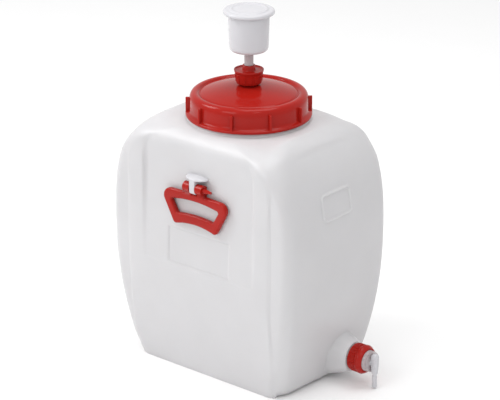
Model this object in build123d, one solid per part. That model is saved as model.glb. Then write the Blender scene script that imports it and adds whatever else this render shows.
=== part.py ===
from build123d import *
import math
import os

# Sixty litre fermentation barrel with a screw lid, a water airlock, two swinging
# handles and a turning drain tap.
# Millimetres, +Z up. The pieces are drawn about the axis of the neck and placed at the end
# with the origin on the floor, under the middle of the whole object from tap to back.
# The tap faces -Y, off the middle of that end, and the handles hang on the -X and +X faces.

# Blow-moulded barrel: its bowed outline
wall = 3.0
belly_half_width = 158.0
belly_half_length = 240.0
base_half_width = 134.0
base_half_length = 195.0
wide_height = 250.0
long_height = 300.0
crest_height = 529.0
top_height = 526.0
crest_half_length = 95.0
end_fullness = 2.6
side_shoulder_height = 45.0
side_shoulder_depth = 60.0
end_crown = 5.0
corner_round = 26.0
top_corner_round = 90.0
bottom_corner_round = 40.0
bottom_corner_height = 60.0
belly_lift = 3.0
bottom_round = 10.0

# Strap ribs over the shoulders, sunk side panel, label recess and skids
rib_height = 2.5
rib_outer = 184.0
rib_inner = 144.0
panel_depth = 3.5
panel_foot_step = 1.0
panel_bottom = 236.0
panel_full_depth_height = 400.0
pedestal_radius = 121.0
label_half_length = 79.0
label_bottom = 240.0
label_height = 76.0
label_depth = 1.2
skid_half_length = 177.0
skid_width = 34.0
skid_blend_height = 46.0

# Where the shell is cut into nearly flat sections that meet face to face
floor_cut = 16.0
panel_cut = 238.0
lug_cut = 404.0
shoulder_cut = 480.0
rib_cut = 142.0
corner_cut = 110.0
low_corner_split = 56.0
high_corner_split = 51.0
boss_cut = 222.0
ring_sections = 8

# Neck, with the lid that screws over it
neck_radius = 111.0
neck_wall = 4.5
neck_top = 562.0
lid_thread_gap = 4.2
lid_skirt_wall = 4.3
lid_bottom = 529.0
lid_rim_rise = 12.0
lid_rim_width = 21.0
lid_bead_reach = 7.5
lid_bead_height = 5.0
lid_dome_rise = 17.0
lid_dome_wall = 4.0
lid_lug_count = 10
lid_lug_width = 6.0
lid_lug_top_drop = 11.0
lid_lug_start = 24.0
lid_seal_thickness = 3.0
lid_seal_width = 8.0

# Airlock cap, screwed on the nipple of the lid
nipple_radius = 14.0
nipple_bore = 11.0
nipple_rise = 20.0
cap_thread_gap = 3.0
cap_sides = 12
cap_bottom_radius = 26.6
cap_top_radius = 28.4
cap_bottom_round = 3.0
cap_lip_radius = 30.0
cap_lip_height = 3.5
cap_bottom_gap = 3.0
cap_crown = 5.5
cap_collar_wall = 3.4
cap_collar_height = 9.0
airlock_seal_thickness = 3.0

# Airlock cup with its standpipe, bell and cover
tube_radius = 9.2
tube_bore = 6.5
tube_clearance = 0.1
tube_below_nipple = 24.0
cup_radius = 41.5
cup_wall = 2.0
cup_round = 10.0
cup_above_cap = 30.0
cup_height = 81.0
standpipe_rise = 50.0
bell_radius = 18.0
bell_wall = 1.8
bell_headroom = 5.0
bell_notch = 6.0
cover_radius = 51.5
cover_thickness = 3.0
cover_dome = 3.0
cover_lip_drop = 4.0
cover_ring_depth = 6.0
cover_ring_wall = 2.0
cover_ring_clearance = 0.4
cover_bead_radius = 38.0
cover_bead_width = 5.0
cover_bead_height = 1.2

# Carrying handles, on pins through the moulded lugs
pin_radius = 4.0
pin_height = 418.0
pin_stand_off = 12.0
running_fit = 0.06
lug_half_width = 7.0
lug_cheek = 9.0
lug_drop = 12.0
roof_half_width = 27.5
roof_reach = 21.0
roof_gap = 16.0
roof_thickness = 9.0
ear_gap = 0.8
ear_width = 16.0
ear_radius = 10.5
handle_thickness = 12.0
handle_panel_gap = 2.5
handle_top_drop = 17.0
handle_height = 71.0
handle_top_half_width = 92.0
handle_bottom_half_width = 54.0
handle_top_arch = 3.0
handle_bottom_arch = 9.0
handle_top_corner = 17.0
handle_bottom_corner = 8.0
grip_top_drop = 36.0
grip_height = 27.0
grip_top_half_width = 63.0
grip_bottom_half_width = 47.0
grip_arch = 7.0
grip_corner = 4.0
handle_edge = 4.0
pin_head_radius = 7.0
pin_head_length = 6.0
pin_barb_radius = 5.6
pin_tip_radius = 2.4
pin_tip_length = 20.0

# Drain boss with its threaded spigot, and the tap that the union nut holds
tap_offset = 36.0
tap_height = 56.5
boss_radius = 34.0
boss_foot = 5.0
boss_foot_corner = 16.0
boss_depth = 60.0
boss_round = 9.0
boss_blend = 7.0
boss_reach = 241.5
spigot_radius = 24.5
spigot_bore = 20.5
spigot_length = 32.0
spigot_flange_radius = 24.8
spigot_flange_sides = 8
tap_seal_thickness = 2.0
tap_flange_radius = 25.6
tap_flange_thickness = 4.0
tap_thread_gap = 1.7
nut_sides = 12
nut_radius = 30.0
nut_length = 33.0
nut_lip = 4.0
nut_chamfer = 2.0
nut_hole_clearance = 0.4
hub_radius = 21.6
hub_front_radius = 16.0
hub_taper = 5.0
hub_length = 14.0
sleeve_radius = 12.5
sleeve_length = 36.0
plug_radius = 8.0
plug_bore = 3.2
plug_barb_radius = 9.4
plug_barb_length = 4.0
port_radius = 2.8
port_from_end = 12.0
o_ring_thickness = 2.2
o_ring_front_offset = 8.0
o_ring_rear_offset = 26.0
groove_clearance = 0.05
spout_gap = 0.4
spout_thickness = 13.0
spout_width = 12.0
spout_above_axis = 19.0
spout_below_axis = 25.0
nozzle_radius = 5.0
nozzle_bore = 3.6
nozzle_length = 31.0
nozzle_tip_chamfer = 0.6
nozzle_neck_radius = 4.5
nozzle_neck_length = 3.0
spout_corner = 5.0
spout_edge = 3.0

# Places that follow from the sizes above
mouth_flat = top_height + rib_height
panel_face = belly_half_width - panel_depth
pin_offset = panel_face + pin_stand_off
handle_plane = panel_face + handle_panel_gap + handle_thickness / 2
ear_start = lug_half_width + ear_gap
ear_end = ear_start + ear_width
lid_inner_radius = neck_radius + lid_thread_gap
lid_skirt_radius = lid_inner_radius + lid_skirt_wall
lid_bead_radius = lid_skirt_radius + lid_bead_reach
lid_seat = neck_top + lid_seal_thickness
lid_rim = lid_seat + lid_rim_rise
dome_radius = lid_skirt_radius - lid_rim_width
dome_edge = lid_rim - lid_seal_thickness
dome_sphere = (dome_radius**2 + lid_dome_rise**2) / (2 * lid_dome_rise)
dome_centre = dome_edge + lid_dome_rise - dome_sphere
nipple_top = dome_edge + lid_dome_rise + nipple_rise
cap_ceiling = nipple_top + airlock_seal_thickness
cap_top = cap_ceiling + cap_crown + cap_lip_height
cap_hole = tube_radius + tube_clearance
cup_bottom = cap_top + cap_collar_height + cup_above_cap
cup_top = cup_bottom + cup_height
cup_floor = cup_bottom + cup_wall
standpipe_top = cup_floor + standpipe_rise
bell_top = standpipe_top + bell_headroom + bell_wall
spigot_end = boss_reach + spigot_length
flange_back = spigot_end + tap_seal_thickness
flange_front = flange_back + tap_flange_thickness
nut_front = flange_front + nut_lip
hub_front = flange_front + hub_length
sleeve_back = flange_back - sleeve_length
spout_back = hub_front + spout_gap
spout_centre = spout_back + spout_thickness / 2


def half_width(height):
    """Half the barrel's width along X: bowed below, straight above, rounded shoulder."""
    if height < wide_height:
        fall = (wide_height - height) / wide_height
        return belly_half_width - (belly_half_width - base_half_width) * fall**2
    start = crest_height - side_shoulder_height
    if height <= start:
        return belly_half_width
    rise = (height - start) / side_shoulder_height
    return belly_half_width - side_shoulder_depth * (1 - math.sqrt(1 - rise**2))


def half_length(height):
    """Half the barrel's length along Y: a bowed end that curls in over the top."""
    if height < long_height:
        fall = (long_height - height) / long_height
        return belly_half_length - (belly_half_length - base_half_length) * fall**2
    rise = (height - long_height) / (crest_height - long_height)
    bulge = (1 - rise**end_fullness) ** (1 / end_fullness)
    return crest_half_length + (belly_half_length - crest_half_length) * bulge


def corner(height):
    """Radius of the upright corners, which opens out at the foot and over the shoulder."""
    start = crest_height - side_shoulder_height
    if height < bottom_corner_height:
        fall = (bottom_corner_height - height) / bottom_corner_height
        return corner_round + (bottom_corner_round - corner_round) * fall**2
    if height <= start:
        return corner_round
    rise = (height - start) / (top_height - start)
    return corner_round + (top_corner_round - corner_round) * rise**2


def outline(width, length, radius):
    """One level outline of the barrel: flat sides, crowned ends, rounded corners."""
    edge = length - end_crown
    front = ThreePointArc((-width, -edge), (0, -length), (width, -edge))
    right = Line((width, -edge), (width, edge))
    back = ThreePointArc((width, edge), (0, length), (-width, edge))
    left = Line((-width, edge), (-width, -edge))
    face = make_face([front, right, back, left])
    return fillet(face.vertices(), radius)


def bowed_body(grow, bottom, drawn_in):
    """The bowed form, grown outwards evenly, from a bottom level to the top."""
    shoulder = crest_height - side_shoulder_height
    levels = [bottom, bottom + bottom_round]
    for share in (0.2, 0.45, 0.75, 1.0):
        levels.append(bottom + share * (wide_height - bottom))
    for share in (0.4, 0.7, 0.88, 1.0):
        levels.append(wide_height + share * (shoulder - wide_height))
    for share in (0.35, 0.62, 0.85, 1.0):
        levels.append(shoulder + share * (top_height - shoulder))
    sections = []
    for level in levels:
        inset = drawn_in if level == bottom else 0
        width = half_width(level) + grow - inset
        length = half_length(level) + grow - inset
        lift = grow * max(0, level - shoulder) / (top_height - shoulder)
        face = outline(width, length, corner(level) + grow)
        sections.append(Plane.XY.offset(level + lift) * face)
    return loft(sections)


def both_sides(piece):
    """A piece on the -X face and its half turn on the +X face."""
    return piece + Rot(0, 0, 180) * piece


def sunk_panel(inset):
    """What the side panel and the top between the ribs take off the -X half."""
    foot_depth = belly_half_width + rib_height - panel_foot_step - inset
    full_depth = panel_face - inset
    far = 2 * belly_half_width
    inner = pedestal_radius / 2
    above = 2 * crest_height
    profile = Polyline(
        (-foot_depth, panel_bottom - inset),
        (-far, panel_bottom - inset),
        (-far, above),
        (-inner, above),
        (-inner, panel_full_depth_height),
        (-full_depth, panel_full_depth_height),
        close=True,
    )
    return extrude(Plane.XZ * make_face(profile), rib_inner + inset, both=True)


def on_tap_axis(piece, distance):
    """Lay a piece along the tap: its Z points to -Y, from a distance off the neck axis."""
    axis = Plane(origin=(tap_offset, 0, tap_height), x_dir=(1, 0, 0), z_dir=(0, -1, 0))
    return axis * Pos(0, 0, distance) * piece


def with_drain_boss(belly, inset):
    """The belly with the arched boss that gives the spigot an upright face, blended in."""
    half = boss_radius - inset
    drop = tap_height - boss_foot - inset
    arch = Circle(half) + Pos(0, -drop / 2) * Rectangle(2 * half, drop)
    boss = extrude(arch, boss_depth)
    foot_edges = boss.edges().filter_by(Axis.Z).group_by(Axis.Y)[0]
    boss = fillet(foot_edges, boss_foot_corner - inset)
    boss = fillet(boss.faces().sort_by(Axis.Z)[-1].edges(), boss_round - inset)
    form = belly + on_tap_axis(boss, boss_reach - inset - boss_depth)
    seam = []
    for edge in form.edges().filter_by(GeomType.BSPLINE):
        middle = edge.center()
        if abs(middle.X - tap_offset) < boss_radius + wall / 2 and -middle.Y < boss_reach - boss_round:
            seam.append(edge)
    return fillet(seam, boss_blend + inset)


def moulded_form(inset):
    """The barrel's outer form, or the space inside it when inset by the wall."""
    belly = with_drain_boss(bowed_body(-inset, belly_lift + inset, bottom_round), inset)
    frame = bowed_body(rib_height - inset, inset, 0)
    across = 4 * belly_half_width
    slab = Box(across, 2 * (rib_outer - inset), 4 * crest_height)
    low_part = Box(across, across, 2 * skid_blend_height)
    low_keep = Box(across, 2 * (skid_half_length - inset), 2 * skid_blend_height)
    frame = (frame & slab) - (low_part - low_keep)
    channel = Box(
        2 * (base_half_width - skid_width + inset),
        4 * belly_half_length,
        2 * (belly_lift + inset + bottom_round),
    )
    form = belly + (frame - channel)
    floor_of_panel = bowed_body(-panel_depth - inset, belly_lift, 0)
    pedestal = Cylinder(pedestal_radius - inset, 4 * crest_height)
    return form - both_sides(sunk_panel(inset) - floor_of_panel - pedestal)


def barrel():
    """The blow-moulded shell, open at the mouth and at the drain boss."""
    body = moulded_form(0) - moulded_form(wall)
    mouth = Cylinder(neck_radius - neck_wall, neck_top, align=(Align.CENTER, Align.CENTER, Align.MIN))
    body = body - Pos(0, 0, top_height - 4 * wall) * mouth
    return body - on_tap_axis(extrude(spigot_flange(), 4 * wall), boss_reach - 2 * wall) - label_recess()


def block(low, high):
    """A plain block between two opposite corners."""
    size = [high[number] - low[number] for number in range(3)]
    return Pos(*low) * Box(*size, align=(Align.MIN, Align.MIN, Align.MIN))


def prism(corners, low, high):
    """An upright prism over an outline, from one level to another."""
    face = make_face(Polyline(*corners, close=True))
    return Pos(0, 0, low) * extrude(face, high - low, dir=(0, 0, 1))


def wedges(start, reach):
    """Triangles that share a point and go once round it."""
    step = 360 / ring_sections
    faces = []
    for number in range(ring_sections):
        first = math.radians(start + number * step)
        last = math.radians(start + (number + 1) * step)
        rim = [(reach * math.cos(angle), reach * math.sin(angle)) for angle in (first, last)]
        faces.append(make_face(Polyline((0, 0), *rim, close=True)))
    return faces


def sections(shell):
    """The shell as sections: floor, flat sides, ends, drain boss and the ring round the mouth."""
    far = 4 * belly_half_length
    boss_left = tap_offset - boss_radius - boss_blend
    boss_right = tap_offset + boss_radius + boss_blend
    boss_zone = block((boss_left, -far, floor_cut), (boss_right, -boss_cut, boss_right + floor_cut))
    cells = [block((-far, -far, 0), (far, far, floor_cut))]
    for low, high in ((floor_cut, panel_cut), (panel_cut, lug_cut), (lug_cut, shoulder_cut)):
        cells.append(block((-far, -rib_cut, low), (0, rib_cut, high)))
        cells.append(block((0, -rib_cut, low), (far, rib_cut, high)))
    bands = ((floor_cut, corner_cut, low_corner_split), (corner_cut, panel_cut, high_corner_split))
    edges = (-far, boss_left, tap_offset, boss_right, far)
    for low, high, split in bands:
        for x, y in ((-1, -1), (-1, 1), (1, -1), (1, 1)):
            strip = (x * (rib_cut - split), y * rib_cut), (x * far, y * rib_cut), (x * far, y * (far + split))
            cells.append(prism(strip, low, high))
        cells.append(prism(((0, split), (far, far + split), (-far, far + split)), low, high))
        front = prism(((0, -split), (far, -far - split), (-far, -far - split)), low, high)
        if high > corner_cut:
            cells.append(front)
            continue
        for number in range(len(edges) - 1):
            strip = block((edges[number], -2 * far, low), (edges[number + 1], 0, high))
            cells.append((front & strip) - boss_zone)
    cells.append(block((-far, rib_cut, panel_cut), (far, far, shoulder_cut)))
    cells.append(block((-far, -far, panel_cut), (far, -rib_cut, shoulder_cut)))
    for wedge in wedges(180 / ring_sections, far):
        cells.append(boss_zone & on_tap_axis(extrude(wedge, far), 0))
    for wedge in wedges(0, far):
        cells.append(Pos(0, 0, shoulder_cut) * extrude(wedge, far))
    found = []
    for cell in cells:
        found.extend((shell & cell).solids())
    return found


def barrel_neck():
    """Round neck that the lid screws on, moulded on the flat round the barrel's mouth."""
    return ring(neck_radius, neck_radius - neck_wall, neck_top - mouth_flat, mouth_flat)


def spigot_flange():
    """Outline of the flat round the drain bore, which the spigot's root takes up."""
    turn = 180 / spigot_flange_sides
    return Rot(0, 0, turn) * RegularPolygon(spigot_flange_radius, spigot_flange_sides)


def drain_spigot():
    """Threaded spigot on the upright face of the drain boss, with the flat round its bore."""
    root = extrude(spigot_flange(), wall) - hollow(spigot_bore, 0, wall)
    spigot = Pos(0, 0, -wall) * root + ring(spigot_radius, spigot_bore, spigot_length, 0)
    return on_tap_axis(spigot, boss_reach)


def handle_lug():
    """Moulded lug on the -X panel: a cheek for the pin under a rounded roof."""
    cheek_reach = pin_offset + lug_cheek - panel_face
    top = pin_height + roof_gap + roof_thickness / 2
    cheek_height = top - pin_height + lug_drop
    cheek = Box(cheek_reach, 2 * lug_half_width, cheek_height, align=(Align.MAX, Align.CENTER, Align.MAX))
    lower_edge = cheek.edges().filter_by(Axis.Y).group_by(Axis.X)[0].sort_by(Axis.Z)[0]
    cheek = Pos(-panel_face, 0, top) * fillet(lower_edge, lug_cheek)
    plate = Ellipse(roof_half_width, roof_reach)
    roof = extrude(plate, roof_thickness)
    roof = fillet(roof.edges(), roof_thickness / 2.5)
    outwards = (Align.MAX, Align.CENTER, Align.CENTER)
    outside = Box(2 * roof_reach, 4 * roof_half_width, 4 * roof_thickness, align=outwards)
    roof = Pos(-panel_face, 0, pin_height + roof_gap) * ((Rot(0, 0, 90) * roof) & outside)
    hole = Pos(-pin_offset, 0, pin_height) * Rot(90, 0, 0) * Cylinder(pin_radius + running_fit, 4 * lug_half_width)
    return cheek + roof - hole


def label_recess():
    """Shallow bare recess for a label, low on the -X panel and leaning with it."""
    foot = belly_half_width + rib_height - panel_foot_step
    panel_rise = panel_full_depth_height - panel_bottom
    lean = (foot - panel_face) / panel_rise
    middle = label_bottom + label_height / 2
    floor = foot - lean * (middle - panel_bottom) - label_depth
    recess = Box(wall, 2 * label_half_length, label_height, align=(Align.MAX, Align.CENTER, Align.CENTER))
    return Pos(-floor, 0, middle) * Rot(0, math.degrees(math.atan(lean)), 0) * recess


def sphere_height(radius, distance):
    """Height of a sphere under the lid's dome, at a distance from the axis."""
    return dome_centre + math.sqrt(radius**2 - distance**2)


def lid():
    """Screw lid: domed top, rounded rim, skirt with grip lugs and a bead round its foot."""
    under = dome_sphere - lid_dome_wall
    seat_inner = neck_radius - neck_wall - lid_seal_width / 2
    bead_top = lid_bottom + lid_bead_height
    skirt_top = lid_seat - lid_lug_top_drop / 2
    rim_crest = (lid_skirt_radius + dome_radius) / 2
    mid = nipple_radius + (dome_radius - nipple_radius) / 2
    shoulder_mid = (
        lid_skirt_radius - (lid_skirt_radius - rim_crest) * (1 - math.sqrt(0.5)),
        lid_rim - (lid_rim - skirt_top) * (1 - math.sqrt(0.5)),
    )
    groove_mid = ((rim_crest + dome_radius) / 2, dome_edge + 0.8 * (lid_rim - dome_edge))
    points = [
        Line((nipple_bore, nipple_top), (nipple_radius, nipple_top)),
        Line((nipple_radius, nipple_top), (nipple_radius, sphere_height(dome_sphere, nipple_radius))),
        ThreePointArc(
            (nipple_radius, sphere_height(dome_sphere, nipple_radius)),
            (mid, sphere_height(dome_sphere, mid)),
            (dome_radius, dome_edge),
        ),
        ThreePointArc((dome_radius, dome_edge), groove_mid, (rim_crest, lid_rim)),
        ThreePointArc((rim_crest, lid_rim), shoulder_mid, (lid_skirt_radius, skirt_top)),
        Line((lid_skirt_radius, skirt_top), (lid_skirt_radius, bead_top + lid_bead_reach / 2)),
        Line((lid_skirt_radius, bead_top + lid_bead_reach / 2), (lid_bead_radius, bead_top)),
        Line((lid_bead_radius, bead_top), (lid_bead_radius, lid_bottom)),
        Line((lid_bead_radius, lid_bottom), (lid_inner_radius, lid_bottom)),
        Line((lid_inner_radius, lid_bottom), (lid_inner_radius, lid_seat)),
        Line((lid_inner_radius, lid_seat), (seat_inner, lid_seat)),
        Line((seat_inner, lid_seat), (seat_inner, sphere_height(under, seat_inner))),
        ThreePointArc(
            (seat_inner, sphere_height(under, seat_inner)),
            (mid, sphere_height(under, mid)),
            (nipple_bore, sphere_height(under, nipple_bore)),
        ),
        Line((nipple_bore, sphere_height(under, nipple_bore)), (nipple_bore, nipple_top)),
    ]
    shell = revolve(Plane.XZ * make_face(points), Axis.Z)
    lug_depth = lid_bead_radius - lid_inner_radius - lid_skirt_wall / 2
    lug_top = lid_rim - lid_lug_top_drop
    lug = Box(lug_depth, lid_lug_width, lug_top - lid_bottom, align=(Align.MAX, Align.CENTER, Align.MIN))
    top_edge = lug.edges().filter_by(Axis.Y).group_by(Axis.Z)[-1].sort_by(Axis.X)[-1]
    lug = Pos(lid_bead_radius - 0.2, 0, lid_bottom) * chamfer(top_edge, lid_bead_reach / 3)
    for number in range(lid_lug_count):
        shell = shell + Rot(0, 0, lid_lug_start + number * 360 / lid_lug_count) * lug
    return shell


def ring(outer, inner, thickness, bottom):
    """A flat ring round the Z axis, standing on a level."""
    plate = Circle(outer) - Circle(inner)
    return Pos(0, 0, bottom) * extrude(plate, thickness)


def lid_seal():
    """Flat rubber ring between the neck and the lid."""
    outer = neck_radius + lid_thread_gap / 2
    return ring(outer, outer - lid_seal_width, lid_seal_thickness, neck_top)


def airlock_cap():
    """Faceted screw cap with a flared lip and a collar that holds the airlock's tube."""
    bottom = dome_edge + lid_dome_rise + cap_bottom_gap
    lip_bottom = cap_top - cap_lip_height
    foot = Plane.XY.offset(bottom) * RegularPolygon(cap_bottom_radius, cap_sides)
    head = Plane.XY.offset(lip_bottom) * RegularPolygon(cap_top_radius, cap_sides)
    cap = loft([foot, head])
    cap = fillet(cap.edges().group_by(Axis.Z)[0], cap_bottom_round)
    lip = Cylinder(cap_lip_radius, cap_lip_height, align=(Align.CENTER, Align.CENTER, Align.MIN))
    cap = cap + Pos(0, 0, lip_bottom) * chamfer(lip.edges().group_by(Axis.Z)[-1], cap_lip_height / 3)
    collar = cap_hole + cap_collar_wall
    cap = cap + ring(collar, cap_hole, cap_collar_height, cap_top)
    inside = nipple_radius + cap_thread_gap
    cap = cap - hollow(inside, bottom, cap_ceiling)
    return cap - hollow(cap_hole, bottom, cap_top + cap_collar_height)


def hollow(radius, bottom, top):
    """A round space about the Z axis, between two levels."""
    return Pos(0, 0, bottom) * Cylinder(radius, top - bottom, align=(Align.CENTER, Align.CENTER, Align.MIN))


def airlock_seal():
    """Rubber ring in the cap that grips the airlock's tube and seals on the nipple."""
    return ring(nipple_radius, cap_hole, airlock_seal_thickness, nipple_top)


def airlock_cup():
    """Cup for the sealing water, with a hole in its floor for the tube."""
    bowl = Pos(0, 0, cup_bottom) * Cylinder(cup_radius, cup_height, align=(Align.CENTER, Align.CENTER, Align.MIN))
    bowl = fillet(bowl.edges().group_by(Axis.Z)[0], cup_round)
    space = hollow(cup_radius - cup_wall, cup_floor, cup_top + cup_wall)
    space = fillet(space.edges().group_by(Axis.Z)[0], cup_round - cup_wall)
    return bowl - space - hollow(tube_radius, cup_bottom, cup_top)


def airlock_tube():
    """Tube through the cup's floor: the stem in the cap below, the standpipe above."""
    stem_bottom = nipple_top - tube_below_nipple
    return ring(tube_radius, tube_bore, standpipe_top - stem_bottom, stem_bottom)


def airlock_bell():
    """Loose inverted cup over the standpipe, notched round its foot so that gas escapes."""
    bell = hollow(bell_radius, cup_floor, bell_top)
    bell = fillet(bell.edges().group_by(Axis.Z)[-1], bell_wall)
    bell = bell - hollow(bell_radius - bell_wall, cup_floor, bell_top - bell_wall)
    notch = Box(4 * bell_radius, bell_notch, bell_notch)
    for turn in (0, 90):
        bell = bell - Pos(0, 0, cup_floor) * Rot(0, 0, turn) * notch
    return bell


def airlock_cover():
    """Dust cover: a shallow dome with a bead and a rolled lip, and a ring inside the cup."""
    ring_outer = cup_radius - cup_wall - cover_ring_clearance
    under = cup_top
    edge_top = under + cover_thickness
    crest = edge_top + cover_dome
    middle = cover_radius * 0.5
    sphere = (cover_radius**2 + cover_dome**2) / (2 * cover_dome)
    middle_rise = crest - sphere + math.sqrt(sphere**2 - middle**2)
    lip_end = under - cover_lip_drop
    lip = cover_thickness
    profile = [
        Line((0, under), (0, crest)),
        ThreePointArc((0, crest), (middle, middle_rise), (cover_radius - lip, edge_top)),
        ThreePointArc(
            (cover_radius - lip, edge_top),
            (cover_radius - lip * (1 - math.sqrt(0.5)), edge_top - lip * (1 - math.sqrt(0.5))),
            (cover_radius, edge_top - lip),
        ),
        Line((cover_radius, edge_top - lip), (cover_radius, lip_end)),
        Line((cover_radius, lip_end), (cover_radius - lip, lip_end)),
        Line((cover_radius - lip, lip_end), (cover_radius - lip, under)),
        Line((cover_radius - lip, under), (0, under)),
    ]
    cover = revolve(Plane.XZ * make_face(profile), Axis.Z)
    cover = cover + ring(ring_outer, ring_outer - cover_ring_wall, cover_ring_depth, under - cover_ring_depth)
    bead_middle = cover_bead_radius - cover_bead_width / 2
    bead_rise = crest - sphere + math.sqrt(sphere**2 - bead_middle**2) + cover_bead_height - under
    bead = ring(cover_bead_radius, cover_bead_radius - cover_bead_width, bead_rise, under)
    return cover + fillet(bead.edges().group_by(Axis.Z)[-1], cover_bead_height / 2)


def bowed_quad(top, bottom, top_half, bottom_half, top_arch, bottom_arch):
    """A handle outline in the YZ plane: slanted sides, both long edges arched upwards."""
    upper = ThreePointArc((-top_half, top), (0, top + top_arch), (top_half, top))
    right = Line((top_half, top), (bottom_half, bottom))
    lower = ThreePointArc((bottom_half, bottom), (0, bottom + bottom_arch), (-bottom_half, bottom))
    left = Line((-bottom_half, bottom), (-top_half, top))
    return make_face([upper, right, lower, left])


def handle():
    """Loop handle of the -X face: an arched grip under two ears that straddle the lug."""
    top = pin_height - handle_top_drop
    bottom = top - handle_height
    grip_top = pin_height - grip_top_drop
    outer = bowed_quad(
        top, bottom, handle_top_half_width, handle_bottom_half_width, handle_top_arch, handle_bottom_arch
    )
    upper_corners = outer.vertices().group_by(Axis.Y)[-1]
    outer = fillet(upper_corners, handle_top_corner)
    outer = fillet(outer.vertices().group_by(Axis.Y)[0], handle_bottom_corner)
    opening = bowed_quad(
        grip_top, grip_top - grip_height, grip_top_half_width, grip_bottom_half_width, grip_arch, grip_arch / 2
    )
    opening = fillet(opening.vertices(), grip_corner)
    loop = extrude(outer - opening, handle_thickness / 2, both=True)
    loop = fillet(loop.edges().group_by(Axis.Z)[-1] + loop.edges().group_by(Axis.Z)[0], handle_edge)
    facing = Plane(origin=(-handle_plane, 0, 0), x_dir=(0, -1, 0), z_dir=(-1, 0, 0))
    loop = facing * loop
    hub = Pos(-pin_offset, 0, pin_height) * Rot(90, 0, 0) * Cylinder(ear_radius, ear_width)
    web_bottom = top - handle_edge
    web = Box(
        handle_thickness,
        ear_width,
        pin_height - web_bottom,
        align=(Align.CENTER, Align.CENTER, Align.MIN),
    )
    ear = hub + Pos(-handle_plane, 0, web_bottom) * web
    middle = (ear_start + ear_end) / 2
    whole = loop + Pos(0, middle, 0) * ear + Pos(0, -middle, 0) * ear
    hole = Pos(-pin_offset, 0, pin_height) * Rot(90, 0, 0) * Cylinder(pin_radius + running_fit, 4 * ear_end)
    return whole - hole


def handle_pin():
    """Moulded pin of the -X handle: round head at one end, barbed tip at the other."""
    head_start = ear_end + running_fit
    tip_start = -ear_end - running_fit
    head_sphere = (pin_head_radius**2 + pin_head_length**2) / (2 * pin_head_length)
    head_middle = pin_head_radius / 2
    head_rise = math.sqrt(head_sphere**2 - head_middle**2) - head_sphere + pin_head_length
    profile = [
        Line((0, head_start + pin_head_length), (0, tip_start - pin_tip_length)),
        Line((0, tip_start - pin_tip_length), (pin_tip_radius, tip_start - pin_tip_length)),
        Line((pin_tip_radius, tip_start - pin_tip_length), (pin_barb_radius, tip_start)),
        Line((pin_barb_radius, tip_start), (pin_radius, tip_start)),
        Line((pin_radius, tip_start), (pin_radius, head_start)),
        Line((pin_radius, head_start), (pin_head_radius, head_start)),
        ThreePointArc(
            (pin_head_radius, head_start),
            (head_middle, head_start + head_rise),
            (0, head_start + pin_head_length),
        ),
    ]
    pin = revolve(Plane.XZ * make_face(profile), Axis.Z)
    return Pos(-pin_offset, 0, pin_height) * Rot(-90, 0, 0) * pin


def tap_nut():
    """Union nut: faceted outside, an inner lip that clamps the tap's flange."""
    back = nut_front - nut_length
    body = extrude(RegularPolygon(nut_radius, nut_sides), nut_length)
    cone = Cone(
        nut_radius + nut_length - nut_chamfer,
        nut_radius - nut_chamfer,
        nut_length,
        align=(Align.CENTER, Align.CENTER, Align.MIN),
    )
    body = body & cone
    body = body - hollow(spigot_radius + tap_thread_gap, 0, nut_length - nut_lip)
    body = body - hollow(hub_radius + nut_hole_clearance, 0, nut_length)
    return on_tap_axis(body, back)


def tap_seal():
    """Flat rubber ring between the spigot and the tap's flange."""
    return on_tap_axis(ring(spigot_radius, spigot_bore, tap_seal_thickness, 0), spigot_end)


def tap_body():
    """Fixed half of the tap: flange, tapered hub and the sleeve in which the plug turns."""
    length = hub_front - sleeve_back
    flange_at = flange_back - sleeve_back
    hub_at = flange_front - sleeve_back
    body = hollow(sleeve_radius, 0, length)
    body = body + Pos(0, 0, flange_at) * hollow(tap_flange_radius, 0, tap_flange_thickness)
    hub_straight = hub_length - hub_taper
    body = body + hollow(hub_radius, hub_at, hub_at + hub_straight)
    taper = Cone(hub_radius, hub_front_radius, hub_taper, align=(Align.CENTER, Align.CENTER, Align.MIN))
    body = body + Pos(0, 0, hub_at + hub_straight) * taper
    body = body - hollow(plug_radius + running_fit, 0, length)
    port = Cylinder(port_radius, 2 * sleeve_radius, align=(Align.CENTER, Align.CENTER, Align.MIN))
    body = body - Pos(0, 0, port_from_end) * Rot(90, 0, 0) * port
    return on_tap_axis(body, sleeve_back)


def plug_groove(middle):
    """The groove of one O-ring, cut round the plug."""
    width = o_ring_thickness + 2 * groove_clearance
    floor = plug_radius - o_ring_thickness - groove_clearance
    return Pos(0, 0, middle - width / 2) * extrude(Circle(2 * plug_radius) - Circle(floor), width)


def o_ring_places():
    """Where the two O-rings lie along the plug, measured from the neck axis."""
    return [hub_front - o_ring_front_offset, hub_front - o_ring_rear_offset]


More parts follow.
